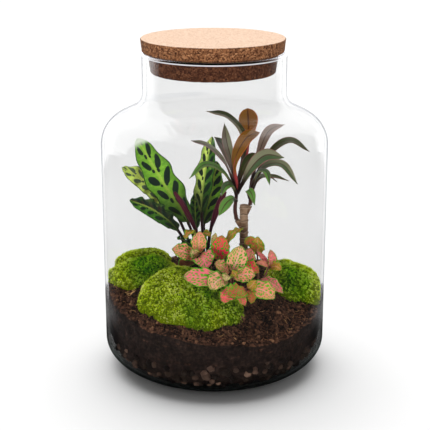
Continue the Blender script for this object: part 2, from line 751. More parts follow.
def add_ground():
    """The soil's clumpy surface and its dented wall at the glass"""
    cos, sin = circle(SOIL_SIDES).T
    rows = []
    for radius in np.linspace(0.4, FILL_RADIUS - 0.3, SOIL_RINGS):
        x, y = radius * cos, radius * sin
        rows.append(np.stack([x, y, ground_height(x, y)], axis=1))
    edge = rows[-1][:, 2]
    low = BED_TOP + 0.4
    for share in np.linspace(0, 1, SOIL_WALL_RINGS)[1:]:
        height = edge + (low - edge) * share
        place = np.stack([FILL_RADIUS * cos, FILL_RADIUS * sin, height], axis=1)
        dent = 1.3 * np.clip(noise(place, 3.4, 34) - 0.1, 0, 1) + 0.7 * np.abs(noise(place, 1.4, 35))
        radius = FILL_RADIUS - 0.2 - dent
        rows.append(np.stack([radius * cos, radius * sin, height], axis=1))
    points = np.concatenate([*rows, [[0, 0, rows[0][:, 2].mean()], [0, 0, low]]])
    heap = Heap()
    heap.add(points, [grid_faces(len(rows), SOIL_SIDES)[:, ::-1], caps(len(rows), SOIL_SIDES)])
    piece("soil_ground", heap, [soil_material()], "soil", "soil")


def add_crumbs(random):
    radius = (FILL_RADIUS - 2.2) * np.sqrt(random.random(CRUMBS))
    angle = TURN * random.random(CRUMBS)
    x, y = radius * np.cos(angle), radius * np.sin(angle)
    size = 0.4 + 1.5 * random.random(CRUMBS) ** 3.5
    centres = np.stack([x, y, ground_height(x, y) + 0.25 * size], axis=1)
    fine = size < FINE_CRUMB
    heap = Heap()
    add_lumps(heap, centres[fine], size[fine], random, 1, 0.35)
    add_lumps(heap, centres[~fine], size[~fine], random, 2, 0.4)
    piece("soil_crumbs", heap, [crumb_material()], "soil")


def add_fibres(random):
    """Short bent fibres all over the soil, and a few pale straws at the left"""
    t = np.linspace(-0.5, 0.5, 4)
    heap = Heap()
    for _ in range(FIBRES):
        radius, angle = (FILL_RADIUS - 5) * math.sqrt(random.random()), TURN * random.random()
        heading, length = TURN * random.random(), 1.5 + 5 * random.random() ** 2
        drift = heading + 1.6 * (random.random() - 0.5) * t
        x = radius * math.cos(angle) + length * t * np.cos(drift)
        y = radius * math.sin(angle) + length * t * np.sin(drift)
        z = ground_height(x, y) + 0.4 + 1.4 * random.random() * (0.5 + t)
        thin = 0.14 + 0.24 * random.random() ** 2
        add_tube(heap, np.stack([x, y, z], axis=1), [thin, thin, thin / 2], 3, 3, 0, random.random())
    for _ in range(STRAWS):
        x, y = STRAW_PLACE[0] + 9 * (random.random() - 0.5), STRAW_PLACE[1] + 7 * (random.random() - 0.5)
        heading, length = 0.6 * (random.random() - 0.5), 2 + 4 * random.random()
        x, y = x + length * t * math.cos(heading), y + length * t * math.sin(heading)
        add_tube(heap, np.stack([x, y, ground_height(x, y) + 1.3], axis=1), [0.3, 0.3, 0.2], 4, 4, 0, 1.0)
    piece("soil_fibres", heap, [fibre_material()], "soil")


def add_pebbles(random):
    """Dark soil in the jar's rounded foot with clay pebbles pressed into it"""
    foot, round_top = BASE_THICKNESS + 0.6, 12
    rounded = round_top - (round_top - foot) * np.linspace(0.08, 1, 12) ** 1.5
    heights = np.concatenate([np.linspace(BED_TOP, round_top, 16), rounded])
    profile = [(0.4, BED_TOP), (60, BED_TOP), *[(corner_radius(z, 4.2), z) for z in heights], (0.4, foot)]
    core = turned(np.array(profile), CORE_SIDES)
    dent = 0.7 * np.abs(noise(core, 3.4, 44)) + 0.4 * np.abs(noise(core, 1.4, 45))
    core[..., :2] *= 1 - (dent / np.maximum(np.hypot(core[..., 0], core[..., 1]), 20))[..., None]
    heap = Heap()
    heap.add(core, grid_faces(len(core), CORE_SIDES), kind=1)
    centres, sizes = [], []
    for height in PEBBLE_LAYERS:
        count = int(TURN * corner_radius(height) / (2.7 * PEBBLE_RADIUS))
        for k in range(count):
            size = PEBBLE_RADIUS * (0.6 + 0.4 * random.random())
            angle = TURN * (k + 0.8 * random.random()) / count
            z = min(height + 3.4 * (random.random() - 0.5), BED_TOP - size * 0.9)
            lean = 1.0 + 0.3 * max(0.0, (INNER_CORNER_TOP - z) / 24)
            radius = corner_radius(z) - size * lean - 2.2 * random.random()
            centres.append((radius * math.cos(angle), radius * math.sin(angle), max(z, foot + size)))
            sizes.append(size)
    add_lumps(heap, np.array(centres), np.array(sizes), random, 2, 0.24, 0.32)
    piece("clay_pebbles", heap, [clay_material(), soil_material()], "clay", "pebble_bed")


def add_stones(random):
    """Stones in the soil's wall: those at the front have a place each"""
    spots = [(math.atan2(-math.sqrt(FILL_RADIUS ** 2 - x * x), x), z) for x, z in STONES_AT_GLASS]
    for k in range(STONES_BEHIND):
        angle = math.pi * (0.02 + 0.96 * (k + random.random()) / STONES_BEHIND)
        spots.append((angle, 35 + 10 * random.random()))
    sizes = 3.0 + 1.4 * random.random(len(spots))
    places = []
    for (angle, z), size in zip(spots, sizes):
        radius = corner_radius(z, 0.3) - 1.08 * size
        places.append((radius * math.cos(angle), radius * math.sin(angle), z))
    heap = Heap()
    add_lumps(heap, np.array(places), sizes, random, 3, 0.32, 0.35)
    piece("soil_stones", heap, [clay_material()], "clay")


# Moss
# lush says where a cushion is deep green, as X, Y and radius, and how strongly

CUSHIONS = [
    dict(name="moss_front", at=(-21, -47), reach=(46, 30.5), turn=-5, height=22, lean=-0.4, seed=11,
         lush=[(-8, -44, 22, 0.75), (14, -55, 16, 0.6), (-16, -72, 14, 0.5)]),
    dict(name="moss_left_front", at=(-66, 1), reach=(31, 24), turn=4, height=15.5, seed=12, back=22,
         lush=[(-60, -4, 20, 1.0)]),
    dict(name="moss_left_rear", at=(-71, 35), reach=(30, 26), turn=0, height=16, seed=13, front=22.6,
         lush=[(-66, 46, 12, 0.4)]),
    dict(name="moss_right", at=(76, 7), reach=(29, 28), turn=-8, height=22, seed=14,
         lush=[(72, -8, 17, 0.8)]),
]
CUSHION_EDGE = 2.3
CUSHION_DOME = 0.6
CUSHION_RINGS = 44
CUSHION_SIDES = 150
TUFT_SPACING = 0.93
TUFT_LEAVES = 7
TUFT_LENGTH = 1.3
CREASE = 5


def cushion_point(cushion, out, around):
    """Points of a moss cushion's top, from its middle at out 0 to its lobed edge at out 1"""
    turn = math.radians(cushion["turn"])
    lobes = np.stack([3 * np.cos(around), 3 * np.sin(around), np.full_like(around, cushion["seed"])], axis=-1)
    reach = out * (1 + 0.07 * noise(lobes, 1, 51) * out)
    u = cushion["reach"][0] * reach * np.cos(around)
    v = cushion["reach"][1] * reach * np.sin(around)
    x = cushion["at"][0] + u * math.cos(turn) - v * math.sin(turn)
    y = cushion["at"][1] + u * math.sin(turn) + v * math.cos(turn)
    dome = np.maximum(0, 1 - out ** CUSHION_EDGE) ** CUSHION_DOME
    rise = cushion["height"] * dome * (1 + cushion.get("lean", 0) * u / cushion["reach"][0])
    for key, sign in (("back", 1), ("front", -1)):
        if key in cushion:
            room = np.clip(sign * (cushion[key] - y) / CREASE, 0, 1)
            rise = rise * (1 - (1 - room) ** 2 * 0.55)
            y = np.minimum(y, cushion[key]) if sign > 0 else np.maximum(y, cushion[key])
    radius = np.hypot(x, y)
    inside = np.minimum(1, (FILL_RADIUS - 1.2) / np.maximum(radius, 1))
    x, y = x * inside, y * inside
    flat = np.stack([x, y, np.full_like(x, 9.0 * cushion["seed"])], axis=-1)
    swell = 1.8 * noise(flat, 11, 52) + 0.8 * noise(flat, 5.2, 53) + 0.4 * noise(flat, 2.6, 54)
    lifted = soil_height(x, y) + rise + swell * np.clip(rise / 6, 0, 1) - 0.8
    return np.stack([x, y, lifted], axis=-1)


def moss_material():
    """Moss from dry yellow-green to deep green, dark at the foot of its leaves and in its hollows"""
    paint = Paint("moss_green")
    own, along, hollow, lush = paint.mark()
    patch = paint.span(paint.noise(8, 2), 0.3, 0.7)
    light = own * 0.8 + patch * 0.2
    dry = paint.ramp(light, (0.05, 94, 120, 0), (0.35, 178, 206, 0), (0.7, 232, 248, 52), (1, 255, 255, 160))
    green = paint.ramp(light, (0.05, 30, 84, 0), (0.5, 98, 176, 0), (1.0, 196, 240, 40))
    tip = paint.mix(lush, dry, green)
    base = paint.mix(lush, srgb(120, 138, 0), srgb(46, 92, 0))
    colour = paint.mix(paint.span(along, 0.0, 0.75), base, tip)
    colour = paint.mix(hollow * 0.6, colour, srgb(30, 44, 0))
    return paint.surface(colour, 0.9, specular_ior_level=0.06)


def lushness(cushion, points):
    """How deep green the moss is, from 0 to 1"""
    total = np.zeros(len(points))
    for x, y, reach, strength in cushion["lush"]:
        far = np.hypot(points[:, 0] - x, points[:, 1] - y) / reach
        total = np.maximum(total, strength * np.clip(1.35 - far ** 1.5, 0, 1))
    return np.clip(total + 0.25 * noise(points, 7, 55), 0, 1)


def add_cushion(heap, cushion):
    """The closed body under the tufts"""
    out = np.sin(math.pi / 2 * np.arange(1, CUSHION_RINGS + 1) / CUSHION_RINGS)
    around = TURN * np.arange(CUSHION_SIDES) / CUSHION_SIDES
    rings = cushion_point(cushion, np.repeat(out, CUSHION_SIDES), np.tile(around, CUSHION_RINGS))
    crown = cushion_point(cushion, np.zeros(1), np.zeros(1))
    foot = crown - [0, 0, cushion["height"] + 4]
    points = np.concatenate([rings, crown, foot])
    lush = lushness(cushion, points)
    mark = np.stack([np.full_like(lush, 0.1), np.full_like(lush, 0.1), np.full_like(lush, 0.6), lush], axis=1)
    faces = [grid_faces(CUSHION_RINGS, CUSHION_SIDES)[:, ::-1], caps(CUSHION_RINGS, CUSHION_SIDES)]
    heap.add(points, faces, mark)


def add_tufts(heap, cushion):
    """Tufts of small pointed leaves all over a cushion, shorter and darker in its hollows"""
    random = np.random.default_rng(cushion["seed"])
    area = math.pi * cushion["reach"][0] * cushion["reach"][1] * 1.25
    count = int(area / TUFT_SPACING ** 2)
    out = np.sqrt(random.random(count)) ** 0.85
    around = TURN * random.random(count)
    base = cushion_point(cushion, out, around)
    farther, nearer = np.clip(out + 0.012, 0, 1), np.clip(out - 0.012, 0, 1)
    across = cushion_point(cushion, farther, around) - cushion_point(cushion, nearer, around)
    beside = cushion_point(cushion, out, around + 0.02) - cushion_point(cushion, out, around - 0.02)
    normal = unit(np.cross(across, beside) + [0, 0, 1e-6])
    normal = unit(normal * np.sign(normal[:, 2:]) + [0, 0, 0.35])
    length = TUFT_LENGTH * (0.6 + 0.7 * random.random(count))
    side = unit(np.cross(normal, [0.2, 0.9, 0.1]))
    front = np.cross(normal, side)
    sunk = base * [1, 1, 0] + [0, 0, 9.0 * cushion["seed"]]
    hollow = np.clip(-1.2 * noise(sunk, 5.2, 53) - 0.5, 0, 0.5)
    hollow = np.maximum(hollow, np.clip((out - 0.95) / 0.05, 0, 1) * 0.5)
    grain = np.clip(1.5 * noise(sunk, 0.9, 56) + 0.3 * noise(sunk, 2.6, 57), -1, 1)
    hollow = np.maximum(hollow, np.clip(-1.7 * grain - 0.5, 0, 1))
    tuft_tone = 0.55 + 0.4 * grain + 0.4 * (random.random(count) - 0.5)
    length = length * (1 + 0.35 * grain)
    lush = lushness(cushion, base)
    for k in range(TUFT_LEAVES):
        swing = TURN * (k + random.random(count)) / TUFT_LEAVES
        spread = (0.25 + 0.75 * random.random(count)) * (0.3 if k == 0 else 1)
        lean = np.cos(swing)[:, None] * side + np.sin(swing)[:, None] * front
        direction = unit(normal + spread[:, None] * 1.1 * lean)
        wide = unit(np.cross(direction, normal + 0.01)) * (0.22 + 0.16 * random.random(count))[:, None]
        reach = length * (0.65 + 0.45 * random.random(count))
        start = base + lean * 0.15
        middle = start + direction * (0.5 * reach)[:, None]
        tip = start + direction * reach[:, None] + normal * (0.2 * reach)[:, None]
        own = np.clip(tuft_tone + 0.5 * (random.random(count) - 0.5), 0, 1)
        tip_radius = np.hypot(tip[:, 0], tip[:, 1])
        tip[:, :2] *= np.minimum(1, (FILL_RADIUS + 0.2) / tip_radius)[:, None]
        points = np.stack([start, middle - wide, tip, middle + wide], axis=1)
        along = np.tile([0.0, 0.5, 1.0, 0.5], count)
        mark = np.stack([np.repeat(own, 4), along, np.repeat(hollow, 4), np.repeat(lush, 4)], axis=1)
        heap.add(points, np.arange(4 * count).reshape(count, 4), mark)


def add_moss():
    material = moss_material()
    for cushion in CUSHIONS:
        heap = Heap()
        add_cushion(heap, cushion)
        add_tufts(heap, cushion)
        piece(cushion["name"] + "_tufts", heap, [material], "moss", cushion["name"])


# Leaves

TIP_RADIUS = 0.35
BLADE_OPENING = 1.5
STALK_FLATTENING = 0.85
WAVE_SHIFT = 2
PRAYER_LEAF = SimpleNamespace(
    steps=96, across=17, thickness=0.55, stalk=1.3, fold=0.1, wave=2.2, waves=3.5, lobe=0.09, ripple=0.22,
    foot=0.5, outline=lambda s: np.sin(math.pi * s ** 0.95) ** 0.52)
ROLLED_LEAF = SimpleNamespace(
    steps=48, across=9, thickness=4.0, stalk=1.5, fold=0, wave=0, waves=0, lobe=0, ripple=0.2,
    foot=0.5, outline=lambda s: np.sin(math.pi * (0.1 + 0.82 * s)) ** 0.6)
STRAP_LEAF = SimpleNamespace(
    steps=40, across=11, thickness=0.5, stalk=1.5, fold=0.22, wave=0.5, waves=1.5, lobe=0, ripple=0.05,
    foot=0, outline=lambda s: 0.18 * (1 - s) ** 2 + np.sin(math.pi * s ** 1.4))
NERVE_LEAF = SimpleNamespace(
    steps=36, across=13, thickness=0.45, stalk=0.6, fold=0.12, wave=0.9, waves=3.6, lobe=0.055, ripple=0.4,
    foot=0.1, outline=lambda s: np.sin(math.pi * s ** 0.86) ** 0.68)


def changed(kind, **numbers):
    """A leaf kind with some of its numbers changed"""
    return SimpleNamespace(**{**vars(kind), **numbers})


WAVED_LEAF = changed(PRAYER_LEAF, waves=5.2, lobe=0.1, wave=2.5)
SPOON_LEAF = changed(STRAP_LEAF, steps=48, across=13, wave=0.4, waves=1, foot=0.42,
                     outline=lambda s: 0.08 * (1 - s) + np.clip(np.sin(math.pi * s ** 2), 0, 1) ** 0.55)
YOUNG_LEAF = changed(STRAP_LEAF, steps=44, wave=0.4, waves=1, foot=0.2,
                     outline=lambda s: np.sin(math.pi * s ** 1.05) ** 0.85)

HUES = {
    "leaf_green": srgb(132, 190, 48),
    "lime": srgb(226, 250, 116),
    "deep_green": srgb(72, 124, 34),
    "dark_green": srgb(52, 96, 34),
    "underside": srgb(56, 36, 36),
    "plum": srgb(78, 26, 42),
    "grey_green": srgb(138, 138, 108),
    "grey_pink": srgb(150, 122, 108),
    "grey_purple": srgb(122, 110, 98),
    "teal_green": srgb(80, 104, 66),
    "olive": srgb(52, 62, 6),
    "amber": srgb(138, 84, 0),
    "copper": srgb(144, 78, 12),
    "fresh_green": srgb(98, 148, 62),
    "red": srgb(255, 56, 82),
    "rose": srgb(255, 90, 106),
    "pink": srgb(255, 124, 134),
    "salmon": srgb(255, 150, 128),
    "peach": srgb(252, 176, 140),
    "cream": srgb(246, 206, 150),
    "gold": srgb(216, 144, 62),
    "rust": srgb(200, 88, 58),
    "brown": srgb(140, 76, 48),
}

# Each leaf has a width, the hues of its left and right half, the way that its face looks, and the path of its
# middle from its root to its tip
PRAYER_PLANT = [
    ("calathea_tall", 28, "leaf_green", "leaf_green", (0.1, -1, 0.25),
     [(-15, 22, 76), (-16, 22, 97), (-25, 20, 128), (-47, 12, 168), (-69, 8, 209)]),
    ("calathea_left", 20, "lime", "lime", (0.2, -1, 0.5),
     [(-21, 31, 76), (-22, 31, 97), (-36, 31, 132), (-58, 26, 160), (-84, 20, 179)]),
    ("calathea_low", 16, "deep_green", "underside", (0.1, -1, 0.6),
     [(-22, 18, 76), (-23, 18, 96), (-34, 13, 122), (-54, 2, 143.5), (-76, -3, 155)]),
    ("calathea_upright", 17, "lime", "deep_green", (-0.2, -1, 0),
     [(-10, 33, 76), (-10, 33, 98), (-12, 30, 134), (-9, 28, 169), (-2, 32, 205)]),
    ("calathea_rear", 20, "deep_green", "leaf_green", (0, -1, 0.1),
     [(-6, 40, 76), (-7, 40, 96), (-10, 41, 119), (-3, 42, 150), (2, 44, 179)]),
    ("calathea_small", 11, "dark_green", "deep_green", (0, -1, 0.1),
     [(-16, 36, 76), (-16, 36, 96), (-17, 36, 116), (-18, 36, 134), (-18, 36, 150)]),
    ("calathea_sprout", 8, "deep_green", "dark_green", (0, -0.6, 1),
     [(-17, 14, 76), (-17, 14, 94), (-19, 13, 104), (-26, 10, 111), (-34, 6, 117)]),
]
ROLLED_LEAVES = [
    ("calathea_roll_front", 5, "plum", "plum", (0, -1, 0.2),
     [(-11, 16, 76), (-12, 15, 98), (-17, 12, 121), (-27, 6, 145), (-36, 2, 161)]),
    ("calathea_roll_right", 6, "plum", "plum", (0, -1, 0.2),
     [(-6, 24, 76), (-6, 24, 98), (-3, 23, 121), (4, 20, 143), (10, 18, 157)]),
]

CANE = SimpleNamespace(at=(27, 15), foot=64, top=145, radius=4, ridge=0.55, rings=7, sides=24, steps=130)
BARK_RING = 5.6
KNOB_RADIUS = 2.3
SHOOT_RADIUS = 1.9
# Each shoot has a knob on the cane, a stem and leaves
SHOOTS = [
    ("shoot_left", [(26, 15, 123), (20.6, 14, 131)],
     [(20.2, 13.9, 131.8), (18.8, 13.5, 141), (20, 13, 155), (21.5, 12.5, 169)],
     [
         (8.5, "grey_green", "olive", (0.3, -0.6, 1),
          [(21, 13, 165), (27, 24, 204), (13, 26, 224), (-7, 16, 232)]),
         (17, "amber", "copper", (0, -1, 0.1),
          [(22, 13, 167), (29, 22, 190), (31, 30, 212), (30, 34, 231)]),
         (12, "amber", "amber", (-0.6, -1, 0.2),
          [(21, 12, 161), (18, -3, 190), (28, -5, 212), (40, 1, 216)]),
         (8.5, "grey_purple", "grey_green", (0, -1, 0.2),
          [(21, 13, 166), (15, 24, 187), (11, 30, 202), (9, 34, 217)]),
         (7.5, "grey_purple", "teal_green", (-0.3, -1, 0.4),
          [(20, 13, 164), (14, 29, 182), (7, 36, 197), (0, 40, 203)]),
         (8.5, "grey_purple", "grey_green", (0.2, -0.5, 1),
          [(20, 12, 161), (9, -6, 190), (-5, -16, 207), (-20, -22, 214)]),
         (7, "fresh_green", "fresh_green", (0, -0.7, 1),
          [(20, 12, 157), (8, -7, 182), (-8, -16, 191), (-22, -22, 180)]),
         (9.5, "olive", "olive", (-0.5, -1, 0.5),
          [(21, 11, 163), (26, 3, 183), (33, -1, 193), (41, -3, 196)]),
         (12, "grey_green", "teal_green", (-0.4, -1, 0.6),
          [(21, 12, 157), (32, -5, 184), (45, -11, 198), (61, -15, 197)]),
         (7, "fresh_green", "teal_green", (0, -0.8, 0.8),
          [(20, 12, 155), (16, -2, 168), (10, -8, 169), (6, -11, 161)]),
         (9.5, "fresh_green", "fresh_green", (0.3, -1, 0.3),
          [(20, 12, 150), (15, 0, 155), (9, -6, 151), (4, -9, 142)]),
     ]),
    ("shoot_right", [(28.5, 15, 137), (32.2, 15, 144.5)],
     [(32.5, 15, 145.4), (33, 15, 151), (33, 14.5, 161), (34, 14, 171)],
     [
         (8.5, "grey_pink", "grey_pink", (-0.5, -1, 0.2),
          [(34, 15, 169), (41, 27, 192), (50, 34, 210), (64, 38, 215)]),
         (8.5, "olive", "olive", (-0.2, -0.5, 1),
          [(34, 15, 167), (51, 22, 193), (69, 24, 203), (86, 20, 194)]),
         (9, "grey_green", "teal_green", (0, -0.6, 1),
          [(34, 14, 164), (45, 8, 183), (61, 2, 186), (74, -4, 170)]),
         (6.5, "teal_green", "fresh_green", (0.1, -0.6, 1),
          [(33, 13, 161), (39, 2, 179), (46, -5, 181), (49, -10, 171)]),
         (5, "olive", "olive", (0, -0.4, 1), [(33, 15, 155), (40, 21, 168), (53, 24, 170), (68, 26, 165)]),
         (4, "olive", "olive", (0, -0.4, 1), [(33, 16, 159), (39, 28, 168), (49, 34, 168), (58, 37, 161)]),
         (7, "fresh_green", "fresh_green", (0.2, -1, 0.4),
          [(32, 14, 152), (30, 3, 162), (33, -3, 161), (36, -6, 151)]),
     ]),
]
# The young leaves, which are amber, have a shape by their width
YOUNG_SHAPES = {17: SPOON_LEAF, 12: YOUNG_LEAF}

# Each nerve leaf has a width, a hue, the size of its green specks, its face and its path
NERVE_STEM_RADIUS = 1
NERVE_PLANT = [
    ("fittonia_a", [(-14, -3, 70), (-14, -3, 92), (-14, -4, 113)],
     [
         (14.5, "gold", 0.4, (0, 0.2, 1), [(-14, -4, 112), (-20, -1, 125), (-27, -7, 120)]),
         (14.5, "salmon", 0.5, (0, -1, 0.2), [(-14, -4, 103), (-14, -9, 117), (-13, -7, 127)]),
         (15.5, "salmon", 0.8, (0.3, -0.9, 0.6), [(-14, -4, 99), (-27, -15, 110), (-38, -20, 114)]),
         (20.5, "pink", 0.6, (0, -0.85, 0.6), [(-14, -4, 101), (-10, -21, 107), (-7, -29, 99)]),
         (8.5, "gold", 0.4, (0, -0.3, 1), [(-14, -4, 112), (-8, -2, 123), (-3, -4, 121)]),
         (9.5, "cream", 0.6, (0, -1, 0.3), [(-14, -4, 102), (-18, -13, 108), (-21, -17, 112)]),
         (13, "brown", 0.1, (0.6, -1, 0.3), [(-14, -3, 98), (-26, -10, 99), (-30, -15, 91)]),
     ]),
    ("fittonia_b", [(3, -8, 70), (3, -9, 90), (3, -11, 105)],
     [
         (18, "red", 1.0, (0, -1, 0.15), [(3, -10, 98), (5, -12, 112), (7, -10, 124)]),
         (9.5, "gold", 1.0, (-0.2, -0.3, 1), [(3, -10, 104), (16, -4, 123), (26, 2, 127)]),
         (7, "cream", 0.3, (0, -1, 0.2), [(3, -10, 101), (0, -7, 116), (1, -9, 126)]),
     ]),
    ("fittonia_c", [(17, -13, 66), (17, -14, 82), (15, -21, 93)],
     [
         (19, "peach", 0.8, (0, -1, 0.3), [(15, -21, 91), (20, -26, 106), (24, -24, 119)]),
         (14.5, "pink", 0.4, (0.2, -1, 0.2), [(16, -17, 88), (29, -15, 103), (32, -12, 113)]),
         (13, "salmon", 0.9, (0, -0.7, 0.7), [(15, -21, 92), (7, -29, 101), (0, -32, 105)]),
         (14.5, "red", 0.8, (0, -0.6, 0.9), [(15, -20, 90), (29, -23, 99), (40, -26, 94)]),
     ]),
    ("fittonia_d", [(15, -23, 62), (15, -24.5, 80), (14, -36, 94)],
     [
         (17, "pink", 0.9, (0, -0.95, 0.5), [(14, -35.6, 92), (-12, -51, 99), (-27, -57, 102)]),
         (18, "peach", 0.7, (0.1, -0.7, 0.8), [(14, -36, 93), (3, -48, 95), (-3, -58, 90)]),
         (8.5, "cream", 0.4, (0, -0.7, 0.8), [(14, -35, 93), (11, -43, 97), (10, -48, 94)]),
         (7, "gold", 0.4, (0, -0.7, 0.8), [(14, -35, 92.5), (17, -41, 99), (20, -45, 97)]),
         (14.5, "salmon", 0.9, (0, -0.9, 0.6), [(14, -36, 93), (27, -39, 97), (36, -40, 97)]),
     ]),
    ("fittonia_e", [(25, -37, 54), (25, -38, 74), (28, -45, 86)],
     [
         (14.5, "rose", 0.4, (0, -0.7, 0.7), [(28, -45, 84), (13, -56, 85), (7, -63, 80)]),
         (17, "rust", 0.9, (-0.1, -0.8, 0.7), [(28, -45, 86), (20, -57, 88.5), (12, -66, 88)]),
         (9.5, "rose", 0.5, (-0.3, -1, 0.3), [(28, -45, 85), (24, -54, 82), (27, -60, 76)]),
         (9.5, "rust", 0.5, (0.3, -1, 0.3), [(28, -45, 85), (32, -51, 82), (32, -55, 76)]),
         (19, "salmon", 1.0, (0.2, -0.7, 0.8), [(28, -45, 86), (42, -46, 85), (53, -50, 79)]),
         (9.5, "gold", 0.4, (-0.6, -1, 0), [(28, -45, 86), (33, -47, 90), (36, -47, 95)]),
     ]),
    ("fittonia_f", [(40, -4, 66), (40, -4, 84), (39, -4, 104)],
     [
         (13, "gold", 0.5, (0, -1, -0.1), [(39, -4, 102), (39, -5, 111), (39, -8, 122)]),
         (6, "pink", 0.2, (0, -1, 0.3), [(39, -4, 103), (42, -2, 109), (45, 0, 113)]),
         (9.5, "rust", 0.4, (-0.2, -1, 0.4), [(39, -4, 103), (33, -7, 117), (27, -11, 116)]),
     ]),
    ("fittonia_g", [(44, -13, 62), (44, -13, 80), (50, -12, 97)],
     [
         (5, "pink", 0.1, (0, -1, 0.3), [(50, -12, 95), (44, -11, 103), (38, -12, 110)]),
         (5, "salmon", 0.1, (0, -1, 0.6), [(50, -12, 94), (43, -17, 100), (37, -19, 101)]),
         (8.5, "pink", 0.3, (0, -1, 0.1), [(50, -12, 93), (52, -14, 103), (50, -15, 112)]),
         (9.5, "gold", 0.3, (0.2, -1, 0.6), [(50, -12, 94), (55, -17, 97), (60, -19, 94)]),
     ]),
    ("fittonia_h", [(42, -18, 60), (42, -19, 76), (39, -24, 88)],
     [
         (11, "pink", 0.5, (0, -0.8, 0.8), [(39, -24, 87), (50, -32, 87), (61, -39, 79.5)]),
     ]),
]


def add_leaf(heap, kind, width, hues, face, path, seed=0.0, tone=0.0, trait=0.0):
    """A leaf as one closed strip: a stalk that opens into a thin arched blade with a raised middle"""
    rows, columns = kind.steps + 1, kind.across
    t = np.linspace(0, 1, rows)
    centre, ahead = curve(path, t)
    side = unit(np.cross(ahead, unit(np.array(face, float))))
    up = np.cross(side, ahead)
    blade = (t - kind.foot) / (1 - kind.foot)
    s = np.clip(blade, 0, 1)
    narrow = kind.stalk + (TIP_RADIUS - kind.stalk) * s
    half = np.maximum(narrow, np.where(blade > 0, width / 2 * kind.outline(s), 0))
    opened = np.clip((half - narrow) / (BLADE_OPENING * kind.stalk), 0, 1)[:, None]
    u = np.linspace(-1, 1, columns)[None]
    edge = np.abs(u)
    phase = TURN * kind.waves * s[:, None] + np.where(u < 0, WAVE_SHIFT, 0) + seed
    half = half[:, None]
    bend = (kind.fold * edge * half + kind.wave * edge ** 2 * np.sin(phase)) * opened
    vein = kind.ripple * edge * (1 - edge) * 4 * np.sin(TURN * (9 * s[:, None] - 2.2 * edge))
    bend = bend + vein * opened
    stalk = narrow[:, None] * np.sqrt(1 - STALK_FLATTENING * u * u)
    full = kind.thickness / 2 * (1 + 0.5 * (1 - edge))
    thick = stalk + (np.minimum(full, np.maximum(TIP_RADIUS, half)) - stalk) * opened
    reach = u * half * (1 + kind.lobe * edge * np.sin(phase) * opened)
    middle = centre[:, None] + side[:, None] * reach[..., None] + up[:, None] * bend[..., None]
    lift = up[:, None] * thick[..., None]
    points = np.concatenate([middle + lift, (middle - lift)[:, ::-1]], axis=1)
    ring = 2 * columns
    across = np.tile(np.concatenate([u[0], u[0, ::-1]]), rows)
    top_side = np.tile(np.concatenate([np.ones(columns), np.zeros(columns)]), rows)
    # The place across and along the blade, the leaf's tone, and 1 on its face
    mark = np.stack([across, np.repeat(blade, ring), np.full(rows * ring, tone), top_side], axis=1)
    right = np.clip(across / 0.25 + 0.5, 0, 1)[:, None]
    hue = np.array(HUES[hues[0]]) * (1 - right) + np.array(HUES[hues[1]]) * right
    j = np.arange(columns - 1)
    cap = np.stack([j, ring - 1 - j, ring - 2 - j, j + 1], axis=1)
    last = (rows - 1) * ring
    faces = [grid_faces(rows, ring), np.concatenate([cap, last + cap[:, ::-1]])]
    heap.add(points, faces, mark, 0, trait, hue)


OVALS = 5.5
OVAL_CROWDING = 1.25


def oval(along, across, turn, long, wide):
    """Less than 1 inside an oval, whose long axis is turned from the midrib by an angle"""
    cos, sin = math.cos(math.radians(turn)), math.sin(math.radians(turn))
    first = along * (cos / long) + across * (sin / long)
    second = along * (-sin / wide) + across * (cos / wide)
    return first * first + second * second


